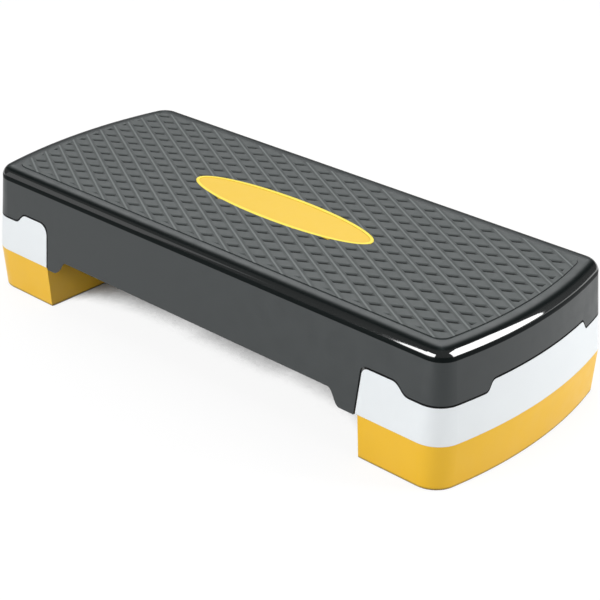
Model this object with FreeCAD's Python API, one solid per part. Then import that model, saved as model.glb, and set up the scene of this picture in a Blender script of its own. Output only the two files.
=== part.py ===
import FreeCAD, Part
import math
import os

os.makedirs("parts", exist_ok=True)

# Lengths are in millimetres. The origin is on the floor under the middle of the step:
# X runs along it, Y across it from front to back, and Z up.

# Overall form
length = 680.0
width = 280.0
height = 146.3
end_bulge = 19.1
corner_radius = 30.3
least_radius = 14.0
seam_height = 49.7
foot_length = 113.0

# Deck: a top plate with a rounded rim, over a skirt that leans in towards the rim
wall = 2.5
rim_height = 12.0
rim_inset = 7.9
rim_round_share = 0.875
prong_drop = 1.8
rib_thickness = 2.0
rib_margin = 31.0
rib_row_count = 5
rib_column_count = 7
end_column_spacing = 50.0
rib_setback = 1.0
rib_root = 0.4

# Levels up the skirt, as shares of the way from the seam to the rim
skirt_bottom_share = 0.18
lobe_share = 0.488
notch_share = 0.62
seat_share = 0.73

# Corners come in two kinds, a swept one and an upright one, set diagonally
swept_tip_reach = 4.8
swept_tip_width = 17.0
swept_tip_run = 18.0
swept_notch_lean = 3.6
swept_notch_radius = 7.5
swept_notch_width = 36.5
swept_lobe_run = 22.0
swept_end_lobe = 59.0
swept_end_run = 13.0
upright_tip_reach = 0.5
upright_tip_width = 10.5
upright_tip_run = 21.0
upright_notch_radius = 12.0
upright_notch_width = 37.5
upright_lobe_run = 20.0
upright_end_lobe = 51.0
upright_end_run = 12.0

# Tread mat: slanting rows of lozenge pockets, each narrowing to a short keel at its bottom
mat_thickness = 3.5
mat_proud = 1.0
mat_inset = 27.0
mat_border = 5.0
pocket_spacing = 21.4
pocket_angle = 29.8
pocket_length = 14.0
pocket_side = 7.5
pocket_depth = 2.0
pocket_shift_along = 7.5
pocket_shift_across = -3.5
keel_share = 0.5

# Oval badge
badge_length = 250.0
badge_width = 60.0
badge_border = 4.0
badge_relief = 0.6

# Risers
riser_wall = 2.5
riser_plate = 3.0
joggle_thickness = 3.5

# Feet
foot_wall = 2.5
foot_draft = 2.9
foot_plate = 3.0
spigot_height = 12.0
pad_proud = 1.0
pad_size = 15.0
pad_thickness = 3.0
pad_chamfer = 0.6
pad_seat_wall = 2.0
pad_seat_height = 6.0

# Screws through each riser's top plate into the deck
screw_radius = 2.0
screw_length = 18.0
screw_head_radius = 4.0
screw_head_height = 2.6
boss_radius = 5.0

# Clearances, and how far a cut runs past what it cuts
reveal = 2.0
fit = 0.4
thread_fit = 0.1
overrun = 5.0
closeness = 0.001

half_length = length / 2
half_width = width / 2
bulge_radius = (half_width ** 2 + end_bulge ** 2) / (2 * end_bulge)
bulge_centre = half_length - bulge_radius
rim_top = height - mat_proud
rim_bottom = rim_top - rim_height
rim_radius = rim_round_share * rim_height
skirt_height = rim_bottom - seam_height
prong_bottom = seam_height - prong_drop
skirt_bottom = seam_height + skirt_bottom_share * skirt_height
lobe_height = seam_height + lobe_share * skirt_height
notch_height = seam_height + notch_share * skirt_height
seat = seam_height + seat_share * skirt_height
mat_floor = height - mat_thickness
ceiling = mat_floor - wall
foot_edge = half_length - foot_length
riser_middle = half_length - foot_length / 2
beyond = length + width

UP = FreeCAD.Vector(0, 0, 1)
ALONG = FreeCAD.Vector(1, 0, 0)
CENTRE = FreeCAD.Vector(0, 0, 0)
HALF_TURN = 180
HEXAGON_ANGLES = (0, 60, 120, 180, 240, 300, 360)


class Corner:
    """Where the lower edge of the skirt turns, along the side and across the end at one corner."""

    def __init__(self, tip_reach, tip_width, tip_run, lean, radius, notch, lobe_run, end_lobe, end_run):
        self.tip_outer = foot_edge - tip_reach
        self.tip_inner = self.tip_outer - tip_width
        self.skirt_end = self.tip_inner - tip_run
        self.notch_side = self.tip_outer + lean
        self.radius = radius
        self.lobe_start = self.notch_side + notch
        self.lobe_end = self.lobe_start + lobe_run
        self.end_low = half_width - end_lobe
        self.end_high = self.end_low - end_run


swept = Corner(swept_tip_reach, swept_tip_width, swept_tip_run, swept_notch_lean, swept_notch_radius,
               swept_notch_width, swept_lobe_run, swept_end_lobe, swept_end_run)
upright = Corner(upright_tip_reach, upright_tip_width, upright_tip_run, 0, upright_notch_radius,
                 upright_notch_width, upright_lobe_run, upright_end_lobe, upright_end_run)


def point(x, y, z):
    return FreeCAD.Vector(x, y, z)


def slant(angle, distance):
    """Level step at an angle from the length."""
    turn = math.radians(angle)
    return point(distance * math.cos(turn), distance * math.sin(turn), 0)


def line(start, end):
    return Part.makeLine(start, end)


def arc(start, middle, end):
    return Part.Arc(start, middle, end).toShape()


def ogee(start, end):
    """S-curve that leaves and arrives level."""
    half_run = (end - start) / 2
    half_run.z = 0
    curve = Part.BezierCurve()
    curve.setPoles([start, start + half_run, end - half_run, end])
    return curve.toShape()


def prism(edges, along):
    """Solid swept from a closed row of edges."""
    wire = Part.Wire(Part.__sortEdges__(edges))
    return Part.Face(wire).extrude(along)


def box(low, high):
    """Block between two opposite corners."""
    size = high - low
    return Part.makeBox(size.x, size.y, size.z, low)


def fused(shapes):
    return shapes[0].multiFuse(shapes[1:]).removeSplitter()


def turned(shape):
    """The same shape at the other end of the step, half a turn about the middle."""
    return shape.rotated(CENTRE, UP, HALF_TURN)


def outline(inset, level):
    """Plan of the step drawn in by an inset: straight sides, bowed ends and round corners."""
    side = half_width - inset
    end_radius = bulge_radius - inset
    radius = max(corner_radius - inset, least_radius)
    corner_y = side - radius
    corner_x = bulge_centre + math.sqrt((end_radius - radius) ** 2 - corner_y ** 2)
    turn = math.atan2(corner_y, corner_x - bulge_centre)
    half_turn = (turn + math.pi / 2) / 2
    edges = []
    for y_sign in (1, -1):
        edges.append(line(point(-corner_x, y_sign * side, level), point(corner_x, y_sign * side, level)))
    for x_sign in (1, -1):
        ends = []
        for y_sign in (1, -1):
            side_point = point(x_sign * corner_x, y_sign * side, level)
            bend_x = x_sign * (corner_x + radius * math.cos(half_turn))
            bend_y = y_sign * (corner_y + radius * math.sin(half_turn))
            end_x = x_sign * (bulge_centre + end_radius * math.cos(turn))
            end_y = y_sign * end_radius * math.sin(turn)
            end_point = point(end_x, end_y, level)
            edges.append(arc(side_point, point(bend_x, bend_y, level), end_point))
            ends.append(end_point)
        edges.append(arc(ends[0], point(x_sign * (half_length - inset), 0, level), ends[1]))
    return Part.Wire(Part.__sortEdges__(edges))


def upright_block(inset, low, high):
    """Straight-sided block on the plan outline."""
    return Part.Face(outline(inset, low)).extrude(UP * (high - low))


def leaning_inset(inset, level):
    return inset + rim_inset * (level - seam_height) / skirt_height


def leaning_block(inset, low, high):
    """Block with the lean of the skirt, drawn in from its outer face by an inset."""
    wires = [outline(leaning_inset(inset, level), level) for level in (low, high)]
    return Part.makeLoft(wires, True, True)


def end_block(inner_x, low, high):
    """Everything at the right-hand end past a plane across the step."""
    return box(point(inner_x, -beyond, low), point(beyond, beyond, high))


def spread(reach, count):
    """Evenly spaced places, from a reach on one side of the middle to the same on the other."""
    spacing = 2 * reach / (count - 1)
    return [place * spacing - reach for place in range(count)]


def rib_grid(columns, rows, low, high):
    """Crossing upright ribs, as columns across the step and rows along it."""
    half_rib = rib_thickness / 2
    ribs = []
    for x in columns:
        ribs.append(box(point(x - half_rib, -beyond, low), point(x + half_rib, beyond, high)))
    for y in rows:
        ribs.append(box(point(-beyond, y - half_rib, low), point(beyond, y + half_rib, high)))
    return fused(ribs)


tuck = leaning_inset(wall + fit, seat)
spigot_inset = leaning_inset(riser_wall + fit, seam_height + spigot_height)
rib_rows = spread(half_width - rib_margin, rib_row_count)
end_rows = rib_rows[::2]
end_columns = [riser_middle - end_column_spacing / 2, riser_middle + end_column_spacing / 2]
deck_columns = spread(end_columns[-1], rib_column_count)


def screw_places():
    """Tops of the screw holes in the right-hand riser, midway between its ribs."""
    return [point(riser_middle, (low + high) / 2, seat) for low, high in zip(end_rows, end_rows[1:])]


def pad_places():
    """Middles of the pads under the right-hand foot, where its outer ribs cross."""
    return [point(x, y, 0) for x in end_columns for y in (end_rows[0], end_rows[-1])]


def notch_profile(corner, gap, y):
    """Region under the scalloped edge at one right-hand corner, seen from the side."""
    top = notch_height - gap
    foot_point = point(corner.tip_outer + gap, y, seam_height)
    peak = point(corner.notch_side + gap, y, top)
    rise = (peak - foot_point).normalize()
    half_angle = (-rise).getAngle(ALONG) / 2
    set_back = corner.radius / math.tan(half_angle)
    bisector = (ALONG - rise).normalize()
    bend = peak + bisector * (corner.radius / math.sin(half_angle) - corner.radius)
    start = peak - rise * set_back
    end = peak + ALONG * set_back
    lobe_start = point(corner.lobe_start, y, top)
    lobe_end = point(corner.lobe_end, y, lobe_height - gap)
    far = point(beyond, y, lobe_height - gap)
    low_far = point(beyond, y, -overrun)
    low_near = point(corner.tip_outer + gap, y, -overrun)
    return [line(low_near, foot_point), line(foot_point, start), arc(start, bend, end),
            line(end, lobe_start), ogee(lobe_start, lobe_end), line(lobe_end, far),
            line(far, low_far), line(low_far, low_near)]


def end_profile(gap):
    """Region under the scalloped edge across the right-hand end."""
    x = foot_edge
    top = notch_height - gap
    lobe = lobe_height - gap
    front_low = point(x, -swept.end_low, lobe)
    front_high = point(x, -swept.end_high, top)
    back_high = point(x, upright.end_high, top)
    back_low = point(x, upright.end_low, lobe)
    floor_front = point(x, -swept.end_low, -overrun)
    floor_back = point(x, upright.end_low, -overrun)
    return [line(floor_front, front_low), ogee(front_low, front_high), line(front_high, back_high),
            ogee(back_high, back_low), line(back_low, floor_back), line(floor_back, floor_front)]


def end_zone(gap):
    """Space that the right-hand riser and foot fill, drawn back by a gap from the deck's edge."""
    front = prism(notch_profile(swept, gap, -beyond), point(0, beyond, 0))
    back = prism(notch_profile(upright, gap, 0), point(0, beyond, 0))
    end = prism(end_profile(gap), point(beyond, 0, 0))
    return front.multiFuse([back, end])


def skirt_opening():
    """Space under the front skirt, between its two prongs."""
    y = -beyond
    left_tip = point(-upright.tip_inner, y, prong_bottom)
    left_top = point(-upright.skirt_end, y, skirt_bottom)
    right_top = point(swept.skirt_end, y, skirt_bottom)
    right_tip = point(swept.tip_inner, y, prong_bottom)
    left_floor = point(-beyond, y, -overrun)
    right_floor = point(beyond, y, -overrun)
    left_side = point(-beyond, y, prong_bottom)
    right_side = point(beyond, y, prong_bottom)
    edges = [line(left_side, left_tip), ogee(left_tip, left_top), line(left_top, right_top),
             ogee(right_top, right_tip), line(right_tip, right_side), line(right_side, right_floor),
             line(right_floor, left_floor), line(left_floor, left_side)]
    return prism(edges, point(0, beyond, 0))


def edges_at(shape, level):
    """Edges that lie at one height."""
    edges = []
    for edge in shape.Edges:
        span = edge.BoundBox
        if max(abs(span.ZMin - level), abs(span.ZMax - level)) < closeness:
            edges.append(edge)
    return edges


def rim():
    """Rounded rim and top of the deck, before it is hollowed."""
    block = upright_block(rim_inset, rim_bottom, rim_top)
    return block.makeFillet(rim_radius, edges_at(block, rim_top))


def deck_ribs():
    """Ribs and screw bosses under the top plate, run into it and into the skirt."""
    high = ceiling + rib_root
    grid = rib_grid(deck_columns, rib_rows, seat, high)
    ribs = [grid.common(leaning_block(wall - rib_root, seat, high))]
    for place in screw_places():
        boss = Part.makeCylinder(boss_radius, high - seat, place)
        ribs.extend([boss, turned(boss)])
    return ribs


def deck():
    """Hollow top with its skirt, ribs and screw bosses."""
    low = prong_bottom - overrun
    solid = fused([leaning_block(0, low, rim_bottom), rim()])
    shell = solid.cut(leaning_block(wall, low - overrun, ceiling))
    shell = fused([shell] + deck_ribs())
    cuts = [upright_block(mat_inset, mat_floor, height + overrun)]
    for cut in (end_zone(0), skirt_opening()):
        cuts.extend([cut, turned(cut)])
    for place in screw_places():
        pilot = Part.makeCylinder(screw_radius + thread_fit, screw_length, place)
        cuts.extend([pilot, turned(pilot)])
    return shell.cut(cuts)


def pocket(middle):
    """Lozenge pocket whose four sides slope down to a keel."""
    along = slant(pocket_angle, pocket_length / 2)
    across = slant(-pocket_angle, pocket_side / 2)
    right_low = middle + along + across
    right_high = middle + along - across
    left_high = middle - along - across
    left_low = middle - along + across
    bottom = middle - UP * pocket_depth
    right = bottom + along * keel_share
    left = bottom - along * keel_share
    corners = [(right_low, right_high, left_high, left_low), (right_low, right, left, left_low),
               (right_high, left_high, left, right), (right_low, right_high, right),
               (left_low, left_high, left)]
    faces = [Part.Face(Part.makePolygon(list(row) + [row[0]])) for row in corners]
    return Part.Solid(Part.Shell(faces))


def pockets():
    """Pockets all over the tread, in two crossing families of slanting rows."""
    first = point(pocket_shift_along, pocket_shift_across, height)
    count = int(beyond / pocket_spacing)
    tools = []
    for row in range(-count, count + 1):
        for place in range(-count, count + 1):
            middle = first + slant(pocket_angle, row * pocket_spacing)
            middle += slant(-pocket_angle, place * pocket_spacing)
            if abs(middle.x) < half_length and abs(middle.y) < half_width:
                tools.append(pocket(middle))
    return Part.makeCompound(tools)


def oval(margin, low, high):
    """Oval block, drawn in from the badge's outline by a margin."""
    curve = Part.Ellipse(point(0, 0, low), badge_length / 2 - margin, badge_width / 2 - margin)
    return Part.Face(Part.Wire(curve.toShape())).extrude(UP * (high - low))


def tread_mat():
    """Anti-slip panel, pocketed inside a plain border, with an opening for the badge."""
    mat = upright_block(mat_inset + fit, mat_floor, height)
    field = upright_block(mat_inset + mat_border, mat_floor, height + overrun)
    return mat.cut([pockets().common(field), oval(-fit, mat_floor - overrun, height + overrun)])


def oval_badge():
    """Oval plate with a raised border."""
    plate = oval(0, mat_floor, height)
    return plate.cut(oval(badge_border, height - badge_relief, height + overrun))


def riser_shell():
    """Outer wall flush with the skirt, stepped in to tuck up inside it, open below."""
    low = seam_height - overrun
    step = lobe_height - reveal - joggle_thickness
    plate_bottom = seat - riser_plate
    tucked = upright_block(tuck, low, seat)
    band = leaning_block(0, seam_height, notch_height).common(end_zone(reveal)).cut(tucked)
    core = tucked.common(end_block(foot_edge, seam_height, height))
    room = end_block(foot_edge + riser_wall, low, plate_bottom)
    low_hollow = leaning_block(riser_wall, low, step).common(room)
    high_hollow = upright_block(tuck + riser_wall, seam_height, plate_bottom).common(room)
    return fused([band, core]).cut([low_hollow, high_hollow])


def riser_ribs():
    """Ribs under the riser's top plate, run into it and into the walls, clear of the foot's spigot."""
    low = seam_height + spigot_height + fit
    high = seat - riser_plate / 2
    inside = upright_block(tuck + riser_wall / 2, low, high)
    inside = inside.common(end_block(foot_edge + riser_wall / 2, low, high))
    return rib_grid(end_columns, end_rows, low, high).common(inside)


def riser():
    """Right-hand riser, with holes for its screws."""
    solid = fused([riser_shell(), riser_ribs()])
    holes = []
    for place in screw_places():
        below = place - UP * (riser_plate + overrun)
        holes.append(Part.makeCylinder(screw_radius + fit, riser_plate + 2 * overrun, below))
    return solid.cut(holes)


def hexagon(radius, middle):
    """Six-sided face, from its middle to its corners."""
    corners = [middle + slant(angle, radius) for angle in HEXAGON_ANGLES]
    return Part.Face(Part.makePolygon(corners))


def screw(place):
    """Hexagon-headed screw driven upwards, with its head against the riser's top plate."""
    under_head = place - UP * riser_plate
    shank = Part.makeCylinder(screw_radius, screw_length, under_head)
    head = hexagon(screw_head_radius, under_head).extrude(-UP * screw_head_height)
    return fused([head, shank])


def riser_screws():
    """The screws of the right-hand riser."""
    return Part.makeCompound([screw(place) for place in screw_places()])


def foot_block(low, high):
    """Block with the taper of a foot."""
    taper = foot_draft / (seam_height - pad_proud)
    wires = [outline(taper * (seam_height - level), level) for level in (low, high)]
    return Part.makeLoft(wires, True, True)


def spigot_block(inset, low, high):
    """Straight-sided block that fits the riser's hollow, drawn in from the spigot by an inset."""
    room = end_block(foot_edge + riser_wall + fit + inset, low, high)
    return upright_block(spigot_inset + inset, low, high).common(room)


def foot_shell():
    """Tapered walls under a shoulder, with a spigot standing on it, hollow and open below."""
    spigot_top = seam_height + spigot_height
    outer = foot_block(pad_proud, seam_height).common(end_block(foot_edge, 0, height))
    spigot = spigot_block(0, seam_height - foot_plate, spigot_top)
    hollow = spigot_block(foot_wall, -overrun, spigot_top - foot_plate)
    return fused([outer, spigot]).cut(hollow)


def foot_ribs():
    """Ribs inside the foot and its spigot, run into their walls."""
    low = pad_proud + rib_setback
    high = seam_height + spigot_height - foot_plate / 2
    return rib_grid(end_columns, end_rows, low, high).common(spigot_block(foot_wall / 2, low, high))


def plug(place, size, rise):
    """Square block standing on a place."""
    reach = point(size / 2, size / 2, 0)
    return box(place - reach, place + reach + UP * rise)


def foot():
    """Right-hand foot, with a seat for a pad where its outer ribs cross."""
    solids = [foot_shell(), foot_ribs()]
    recesses = []
    for place in pad_places():
        base = place + UP * pad_proud
        solids.append(plug(base, pad_size + 2 * pad_seat_wall, pad_seat_height))
        recesses.append(plug(place, pad_size + 2 * fit, pad_thickness))
    return fused(solids).cut(recesses)


def pad(place):
    """Square rubber pad with a bevelled lower edge."""
    block = plug(place, pad_size, pad_thickness)
    return block.makeChamfer(pad_chamfer, edges_at(block, 0))


def end_parts():
    """Everything at the right-hand end, by name."""
    parts = {"riser": riser(), "riser_screws": riser_screws(), "foot": foot()}
    pad_names = ("inner_front_pad", "inner_back_pad", "outer_front_pad", "outer_back_pad")
    for name, place in zip(pad_names, pad_places()):
        parts["foot_" + name] = pad(place)
    return parts


def left_name(name):
    """A piece at the front of one end is at the back of the other after the half turn."""
    if "front" in name:
        return name.replace("front", "back")
    return name.replace("back", "front")


deck().exportStep("parts/deck.step")
tread_mat().exportStep("parts/tread_mat.step")
oval_badge().exportStep("parts/oval_badge.step")
for name, shape in end_parts().items():
    shape.exportStep("parts/right_" + name + ".step")
    turned(shape).exportStep("parts/left_" + left_name(name) + ".step")
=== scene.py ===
import math

import bpy
from mathutils import Matrix, Vector


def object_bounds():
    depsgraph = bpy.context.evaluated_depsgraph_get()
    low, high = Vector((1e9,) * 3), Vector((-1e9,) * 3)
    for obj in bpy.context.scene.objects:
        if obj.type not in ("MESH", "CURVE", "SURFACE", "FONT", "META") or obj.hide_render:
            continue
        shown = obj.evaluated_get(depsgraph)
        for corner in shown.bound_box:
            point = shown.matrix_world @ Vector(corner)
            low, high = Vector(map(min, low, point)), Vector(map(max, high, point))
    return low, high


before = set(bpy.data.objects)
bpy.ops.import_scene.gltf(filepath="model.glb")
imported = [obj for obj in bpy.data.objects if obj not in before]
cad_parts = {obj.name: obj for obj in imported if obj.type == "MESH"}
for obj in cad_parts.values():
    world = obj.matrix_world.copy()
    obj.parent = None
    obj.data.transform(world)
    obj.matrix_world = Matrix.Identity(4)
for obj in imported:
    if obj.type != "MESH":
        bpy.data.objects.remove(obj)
cad_low, cad_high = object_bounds()

# Heights on the step, in metres as in the frame
MM = 0.001
TREAD_LEVEL = cad_high.z
RIM_TOP = TREAD_LEVEL - 1.0 * MM
RIM_BOTTOM = RIM_TOP - 12.0 * MM
BADGE_RELIEF = 0.6 * MM

# Outer edge of the deck's flat top: two straight sides and two end arcs
FLAT_HALF_WIDTH = 121.6 * MM
FLAT_END_RADIUS = 504.24 * MM
FLAT_END_SETBACK = 182.64 * MM

# Where the deck's finishes meet, by height and then by distance past the flat's edge
SKIRT_TO_RIM = (RIM_BOTTOM - 0.1 * MM, RIM_BOTTOM + 0.3 * MM)
POLISH_BEGINS = (RIM_BOTTOM + 4.6 * MM, RIM_BOTTOM + 5.5 * MM)
POLISH_ENDS = (RIM_TOP - 2.4 * MM, RIM_TOP - 1.0 * MM)
FLAT_TO_RIM = (-4.5 * MM, 4.5 * MM)

# Roll-off of the flat towards the rim: the distances it spans, and its drop in units of the deck's relief
ROLL_OFF = (-6.0 * MM, 4.0 * MM)
ROLL_OFF_DROP = 33.0

# Raised lines between the tread's rows of pockets: how they lie, how much painted highlight they carry and
# how high they are, and the bands of painted shade where line, pad and pocket meet
LINE_PITCH = 18.46 * MM
LINE_ANGLE = math.radians(-29.8)
LINE_SHIFT = 8.54 * MM
LINE_PAINTED_HIGHLIGHT = 0.48
LINE_RELIEF = 2.0
LINE_EDGE = (0.5 * MM, 1.4 * MM)
PAD_EDGE = (2.2 * MM, 5.0 * MM)
POCKET_WALL = (TREAD_LEVEL - 1.4 * MM, TREAD_LEVEL - 0.25 * MM)

# Linear colours of the mouldings, with painted light on the deck's flat top and painted shade on its rim, and
# the share of the tread's colour left where shade is painted in
GREY = (0.0175, 0.0225, 0.0235)
# Painted light: the flat top's paler copy of the deck's grey
FLAT_PAINTED_LIGHT_GREY = (0.029, 0.036, 0.037)
# Painted shade: the polished rim's near-black copy of the deck's grey
RIM_PAINTED_SHADE_GREY = (0.005, 0.007, 0.007)
TREAD_GREY = (0.180, 0.199, 0.199)
TREAD_PAINTED_SHADE = 0.1
WHITE = (0.80, 0.835, 0.855)
YELLOW = (0.88, 0.51, 0.016)
BADGE_YELLOW = (0.78, 0.515, 0.058)
BADGE_BORDER = (0.90, 0.72, 0.085)
STEEL = (0.56, 0.56, 0.57)
RUBBER = (0.018, 0.018, 0.018)

# Painted shade in the mouldings' seams: how far it reaches, the openness from dark to clear, and the share of
# the colour left in the dark
PAINTED_SEAM_SHADE_REACH = 6.0 * MM
PAINTED_SEAM_SHADE_FADE = (0.5, 0.85)
PAINTED_SEAM_SHADE_LEFT = 0.02

# Range that most of a noise texture lies in
NOISE_RANGE = (0.3, 0.7)

# Floor: its lit colour, its glow as a background, and how far and how softly the step shades that glow
FLOOR_GAP = 0.1 * MM
FLOOR_HALF_SIZE = 20.0
FLOOR_PAPER = (0.46, 0.46, 0.46, 1.0)
FLOOR_GLOW = 1.24
FLOOR_GLOW_SHARE = 0.7
FLOOR_SHADE_REACH = 0.3
FLOOR_SHADE_FADE = (0.115, 0.19)

# Surroundings
WORLD_WHITE = (1.0, 1.0, 1.0, 1.0)
WORLD_LEVEL = 0.12

# Points that the lights are aimed at
MIDDLE = (0.0, 0.0, 0.0)
NEAR_CORNER = (0.285, -0.13, 0.14)
END_RIM = (0.325, -0.07, 0.141)
LEFT_RIM = (-0.15, -0.13, 0.14)

# Camera: its bearing, tilt and distance, its step to the right and up, and its lens
AZIMUTH = math.radians(42.07)
ELEVATION = math.radians(27.71)
ROLL = math.radians(0.33)
DISTANCE = 1.6702
SIDE_STEP = 20.51 * MM
LIFT = 32.35 * MM
LENS = 90.733
SENSOR = 36.0


class Graph:
    """Material under construction."""

    def __init__(self, name):
        self.material = bpy.data.materials.new(name)
        self.material.use_nodes = True
        self.tree = self.material.node_tree
        self.tree.nodes.clear()
        self.coords = self.node("ShaderNodeTexCoord").outputs["Object"]

    def node(self, kind, inputs=None, **settings):
        """New node, with each input linked to a socket or set to a value."""
        made = self.tree.nodes.new(kind)
        for name, value in settings.items():
            setattr(made, name, value)
        for name, value in (inputs or {}).items():
            if isinstance(value, bpy.types.NodeSocket):
                self.tree.links.new(value, made.inputs[name])
            else:
                made.inputs[name].default_value = value
        return made

    def axis(self, name):
        """One coordinate of the surface, in the frame."""
        return self.node("ShaderNodeSeparateXYZ", {"Vector": self.coords}).outputs[name]

    def noise(self, scale, detail=4.0):
        """Cloudy texture fixed to the piece."""
        inputs = {"Vector": self.coords, "Scale": scale, "Detail": detail}
        return self.node("ShaderNodeTexNoise", inputs).outputs["Fac"]

    def ramp(self, value, span, at_low, at_high):
        """Value eased from the span's ends to two other values."""
        low, high = span
        inputs = {"Value": value, "From Min": low, "From Max": high, "To Min": at_low, "To Max": at_high}
        made = self.node("ShaderNodeMapRange", inputs, interpolation_type="SMOOTHSTEP")
        return made.outputs["Result"]

    def rise(self, value, span):
        return self.ramp(value, span, 0.0, 1.0)

    def fall(self, value, span):
        return self.ramp(value, span, 1.0, 0.0)

    def uneven(self, scale, low, high):
        """Patches that wander between two values."""
        return self.ramp(self.noise(scale), NOISE_RANGE, low, high)

    def math(self, operation, first, second=0.0):
        return self.node("ShaderNodeMath", {0: first, 1: second}, operation=operation).outputs["Value"]

    def openness(self, reach, samples):
        """Share of the surroundings that nothing covers within reach."""
        made = self.node("ShaderNodeAmbientOcclusion", {"Distance": reach}, samples=samples)
        return made.outputs["AO"]

    def tint(self, factor, first, second):
        """Mix of two colours, each a socket or a plain colour."""
        made = self.node("ShaderNodeMix", data_type="RGBA")
        sockets = {socket.name: socket for socket in made.inputs if socket.enabled}
        for name, value in (("Factor", factor), ("A", first), ("B", second)):
            if isinstance(value, bpy.types.NodeSocket):
                self.tree.links.new(value, sockets[name])
            else:
                sockets[name].default_value = (*value, 1.0)
        return next(socket for socket in made.outputs if socket.enabled)

    def flow_marks(self, colour, scale, spread):
        """Colour in faint patches, darker and lighter by the spread."""
        return self.tint(self.noise(scale), shade(colour, 1.0 - spread), shade(colour, 1.0 + spread))

    def bump(self, height, depth, strength, edge):
        """Surface normal with rounded edges and a fine relief."""
        soft = self.node("ShaderNodeBevel", {"Radius": edge}, samples=6).outputs["Normal"]
        inputs = {"Height": height, "Distance": depth, "Strength": strength, "Normal": soft}
        return self.node("ShaderNodeBump", inputs).outputs["Normal"]

    def blend(self, share, first, second):
        """Mix of two shaders."""
        return self.node("ShaderNodeMixShader", {0: share, 1: first, 2: second}).outputs["Shader"]

    def output(self, surface):
        self.node("ShaderNodeOutputMaterial", {"Surface": surface})
        return self.material

    def finish(self, **inputs):
        """Principled surface from sockets and values, by input name."""
        titles = {name: name.replace("_", " ").title().replace("Ior", "IOR") for name in inputs}
        named = {titles[name]: value for name, value in inputs.items()}
        return self.output(self.node("ShaderNodeBsdfPrincipled", named).outputs["BSDF"])


def shade(colour, factor):
    return tuple(channel * factor for channel in colour)


def moulded(name, colour, roughness, specular, grain_scale=1800.0, grain_depth=0.05 * MM):
    """Moulded plastic or rubber: faint flow marks, a fine spark-eroded grain, and painted shade that darkens
    the seams.
    """
    graph = Graph(name)
    flow = graph.flow_marks(colour, scale=9.0, spread=0.05)
    # Painted shade: the colour darkens where nearby surfaces close the seam in
    clear_of_painted_shade = graph.rise(graph.openness(PAINTED_SEAM_SHADE_REACH, samples=12), PAINTED_SEAM_SHADE_FADE)
    base = graph.tint(clear_of_painted_shade, shade(colour, PAINTED_SEAM_SHADE_LEFT), flow)
    rough = graph.uneven(scale=55.0, low=roughness - 0.04, high=roughness + 0.04)
    grain = graph.noise(grain_scale, detail=2.0)
    normal = graph.bump(grain, depth=grain_depth, strength=0.35, edge=0.7 * MM)
    return graph.finish(base_color=base, roughness=rough, normal=normal, specular_ior_level=specular)


def flat_overhang(graph):
    """Distance outside the edge of the flat top, less than nothing within it."""
    along = graph.math("ADD", graph.math("ABSOLUTE", graph.axis("X")), FLAT_END_SETBACK)
    across = graph.math("ABSOLUTE", graph.axis("Y"))
    spoke = graph.node("ShaderNodeCombineXYZ", {"X": along, "Y": across}).outputs["Vector"]
    reach = graph.node("ShaderNodeVectorMath", {0: spoke}, operation="LENGTH").outputs["Value"]
    past_end = graph.math("SUBTRACT", reach, FLAT_END_RADIUS)
    return graph.math("MAXIMUM", past_end, graph.math("SUBTRACT", across, FLAT_HALF_WIDTH))


def deck_plastic():
    """Dark grey moulding: grained skirt, a flat top that rolls off and carries painted light, and a polished
    rim made black by painted shade.
    """
    graph = Graph("deck_plastic")
    height = graph.axis("Z")
    above_skirt = graph.rise(height, SKIRT_TO_RIM)
    overhang = flat_overhang(graph)
    rim = graph.math("MULTIPLY", above_skirt, graph.rise(overhang, FLAT_TO_RIM))
    flow = graph.flow_marks(GREY, scale=8.0, spread=0.07)
    # Painted light on the flat top and painted shade on the rim, over the skirt's grey
    base = graph.tint(rim, graph.tint(above_skirt, flow, FLAT_PAINTED_LIGHT_GREY), RIM_PAINTED_SHADE_GREY)
    rough = graph.uneven(scale=60.0, low=0.32, high=0.40)
    polish = graph.math("MULTIPLY", graph.rise(height, POLISH_BEGINS), graph.fall(height, POLISH_ENDS))
    grain = graph.math("MULTIPLY", graph.noise(scale=1600.0, detail=2.0), graph.math("SUBTRACT", 1.0, rim))
    drop = graph.ramp(overhang, ROLL_OFF, at_low=0.0, at_high=ROLL_OFF_DROP)
    relief = graph.math("SUBTRACT", grain, drop)
    normal = graph.bump(relief, depth=0.06 * MM, strength=0.4, edge=0.6 * MM)
    specular = graph.ramp(rim, (0.0, 1.0), at_low=0.5, at_high=0.03)
    return graph.finish(base_color=base, roughness=rough, normal=normal, specular_ior_level=specular,
                        coat_weight=polish, coat_roughness=0.05, coat_ior=2.2)


def distance_from_line(graph):
    """Distance from the nearest raised line of the tread."""
    along = graph.math("MULTIPLY", graph.axis("X"), -math.sin(LINE_ANGLE))
    across = graph.math("MULTIPLY", graph.axis("Y"), math.cos(LINE_ANGLE))
    offset = graph.math("ADD", graph.math("ADD", along, across), LINE_SHIFT)
    return graph.math("PINGPONG", offset, LINE_PITCH / 2)


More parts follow.
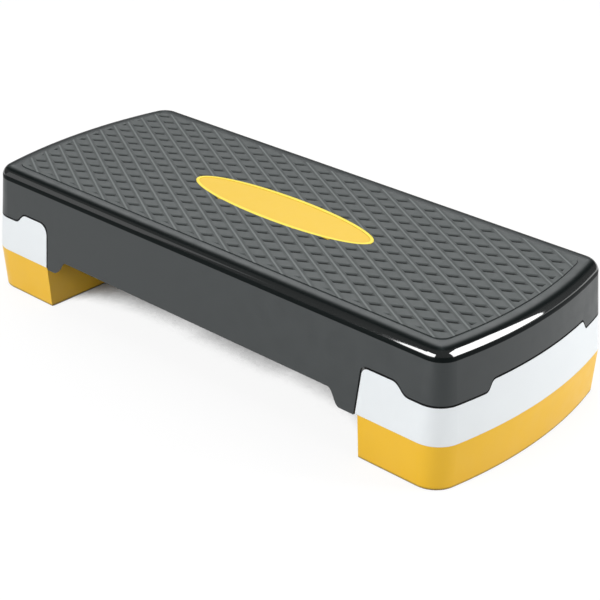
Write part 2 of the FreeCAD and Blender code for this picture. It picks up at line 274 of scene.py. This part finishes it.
def tread_rubber():
    """Matte tread: raised lines between the rows of pockets, with a painted highlight on them and painted
    shade beside them, and painted shade down in the pockets.
    """
    graph = Graph("tread_rubber")
    # Painted shade: the tread darkens down the walls of its pockets
    on_top = graph.ramp(graph.axis("Z"), POCKET_WALL, at_low=0.05, at_high=1.0)
    from_line = distance_from_line(graph)
    crest = graph.fall(from_line, LINE_EDGE)
    # Painted highlight on the lines, and painted shade in the bands beside them
    pad = graph.ramp(from_line, PAD_EDGE, at_low=0.28, at_high=0.42)
    line_highlight_and_shade = graph.math("ADD", pad, graph.math("MULTIPLY", crest, LINE_PAINTED_HIGHLIGHT))
    level = graph.math("MULTIPLY", line_highlight_and_shade, on_top)
    base = graph.tint(level, shade(TREAD_GREY, TREAD_PAINTED_SHADE), TREAD_GREY)
    rough = graph.uneven(scale=120.0, low=0.50, high=0.60)
    grain = graph.noise(scale=1400.0, detail=3.0)
    relief = graph.math("ADD", grain, graph.math("MULTIPLY", crest, LINE_RELIEF))
    normal = graph.bump(relief, depth=0.12 * MM, strength=0.5, edge=0.5 * MM)
    return graph.finish(base_color=base, roughness=rough, normal=normal, specular_ior_level=0.3)


def badge_plastic():
    """Yellow inlay with a brighter raised border."""
    graph = Graph("badge_plastic")
    on_border = graph.rise(graph.axis("Z"), (TREAD_LEVEL - 0.8 * BADGE_RELIEF, TREAD_LEVEL))
    base = graph.tint(on_border, BADGE_YELLOW, BADGE_BORDER)
    rough = graph.uneven(scale=70.0, low=0.34, high=0.42)
    grain = graph.noise(scale=1500.0, detail=2.0)
    normal = graph.bump(grain, depth=0.04 * MM, strength=0.3, edge=0.3 * MM)
    return graph.finish(base_color=base, roughness=rough, normal=normal, specular_ior_level=0.2)


def plated_steel():
    """Zinc-plated screw."""
    graph = Graph("plated_steel")
    base = graph.tint(graph.noise(scale=400.0), shade(STEEL, 0.85), STEEL)
    rough = graph.uneven(scale=900.0, low=0.25, high=0.4)
    grain = graph.noise(scale=2500.0, detail=2.0)
    normal = graph.bump(grain, depth=0.02 * MM, strength=0.3, edge=0.15 * MM)
    return graph.finish(base_color=base, roughness=rough, normal=normal, metallic=1.0)


def floor_white():
    """White ground, lit and glowing where it is seen, shaded by the step, and clear from below."""
    graph = Graph("floor_white")
    paper = graph.node("ShaderNodeBsdfDiffuse", {"Color": FLOOR_PAPER}).outputs["BSDF"]
    glow = graph.node("ShaderNodeEmission", {"Strength": FLOOR_GLOW}).outputs["Emission"]
    path = graph.node("ShaderNodeLightPath").outputs
    seen = graph.math("MAXIMUM", path["Is Camera Ray"], path["Is Glossy Ray"])
    seen = graph.math("MAXIMUM", seen, path["Is Transmission Ray"])
    openness = graph.openness(FLOOR_SHADE_REACH, samples=32)
    unshaded = graph.ramp(openness, FLOOR_SHADE_FADE, at_low=0.0, at_high=FLOOR_GLOW_SHARE)
    lit = graph.blend(graph.math("MULTIPLY", seen, unshaded), paper, glow)
    from_below = graph.node("ShaderNodeNewGeometry").outputs["Backfacing"]
    clear = graph.node("ShaderNodeBsdfTransparent").outputs["BSDF"]
    return graph.output(graph.blend(from_below, lit, clear))


def dress(material, nodes):
    """Give the CAD nodes a finish."""
    for name in nodes:
        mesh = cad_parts[name].data
        mesh.materials.clear()
        mesh.materials.append(material)


def nodes_named(ending):
    return [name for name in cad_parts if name.endswith(ending)]


def dress_all():
    """Give every node its finish."""
    dress(deck_plastic(), ["deck"])
    dress(tread_rubber(), ["tread_mat"])
    dress(badge_plastic(), ["oval_badge"])
    dress(moulded("riser_plastic", WHITE, roughness=0.42, specular=0.5), nodes_named("_riser"))
    dress(moulded("foot_plastic", YELLOW, roughness=0.4, specular=0.5), nodes_named("_foot"))
    rubber = moulded("pad_rubber", RUBBER, roughness=0.7, specular=0.3,
                     grain_scale=900.0, grain_depth=0.1 * MM)
    dress(rubber, nodes_named("_pad"))
    dress(plated_steel(), nodes_named("_screws"))


def make_floor():
    """Wide square floor, just clear of the pads."""
    mesh = bpy.data.meshes.new("floor")
    signs = ((-1, -1), (1, -1), (1, 1), (-1, 1))
    corners = [(x * FLOOR_HALF_SIZE, y * FLOOR_HALF_SIZE, -FLOOR_GAP) for x, y in signs]
    mesh.from_pydata(corners, [], [(0, 1, 2, 3)])
    floor = bpy.data.objects.new("floor", mesh)
    bpy.context.collection.objects.link(floor)
    mesh.materials.append(floor_white())


def make_world():
    """Even, dim studio surroundings."""
    world = bpy.data.worlds.new("studio")
    bpy.context.scene.world = world
    world.use_nodes = True
    background = world.node_tree.nodes["Background"]
    background.inputs["Color"].default_value = WORLD_WHITE
    background.inputs["Strength"].default_value = WORLD_LEVEL


def soft_light(name, place, target, size, radiance, diffuse=True, glossy=True, only=None):
    """Softbox aimed at a point, that lights matt surfaces, shows in reflections or both."""
    wide, tall = size
    data = bpy.data.lights.new(name, "AREA")
    data.shape = "RECTANGLE"
    data.size = wide
    data.size_y = tall
    data.energy = radiance * math.pi * wide * tall
    light = bpy.data.objects.new(name, data)
    bpy.context.collection.objects.link(light)
    light.location = place
    light.rotation_euler = (Vector(target) - Vector(place)).to_track_quat("-Z", "Y").to_euler()
    light.visible_diffuse = diffuse
    light.visible_glossy = glossy
    light.light_linking.receiver_collection = only


def make_softboxes():
    """Softboxes round the step."""
    soft_light("overhead", (0.0, 0.2, 2.4), MIDDLE, size=(1.8, 1.8), radiance=1.6, glossy=False)
    soft_light("back_right", (1.75, 1.05, 0.85), MIDDLE, size=(0.8, 0.6), radiance=21.0, glossy=False)
    soft_light("back_left", (-1.28, 1.42, 1.91), MIDDLE, size=(2.6, 1.6), radiance=2.2)
    soft_light("front", (-0.1, -2.2, 1.5), MIDDLE, size=(2.2, 1.4), radiance=6.25, glossy=False)


def make_cards():
    """Cards that light the deck alone, and whose only work is the bright strips along its rim."""
    polished = bpy.data.collections.new("polished")
    polished.objects.link(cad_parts["deck"])
    rim_only = {"diffuse": False, "only": polished}
    soft_light("card_near", (-0.1, -2.015, 0.72), NEAR_CORNER, size=(1.595, 1.45), radiance=7.5, **rim_only)
    soft_light("card_end", (1.92, 0.765, 1.058), END_RIM, size=(1.82, 1.84), radiance=7.5, **rim_only)
    soft_light("card_left", (-1.85, -1.40, 0.82), LEFT_RIM, size=(0.95, 1.26), radiance=0.32, **rim_only)


def make_camera():
    """Camera that frames the step as in the photograph."""
    level = math.cos(ELEVATION)
    back = Vector((math.sin(AZIMUTH) * level, -math.cos(AZIMUTH) * level, math.sin(ELEVATION)))
    right = Vector((math.cos(AZIMUTH), math.sin(AZIMUTH), 0.0))
    tilted = right * math.cos(ROLL) + back.cross(right) * math.sin(ROLL)
    up = back.cross(tilted)
    data = bpy.data.cameras.new("camera")
    data.lens = LENS
    data.sensor_width = SENSOR
    camera = bpy.data.objects.new("camera", data)
    bpy.context.collection.objects.link(camera)
    turn = Matrix((tilted, up, back)).transposed().to_4x4()
    place = back * DISTANCE + tilted * SIDE_STEP + up * LIFT
    camera.matrix_world = Matrix.Translation(place) @ turn
    bpy.context.scene.camera = camera


dress_all()
make_floor()
make_world()
make_softboxes()
make_cards()
make_camera()
bpy.context.scene.view_settings.view_transform = "Standard"
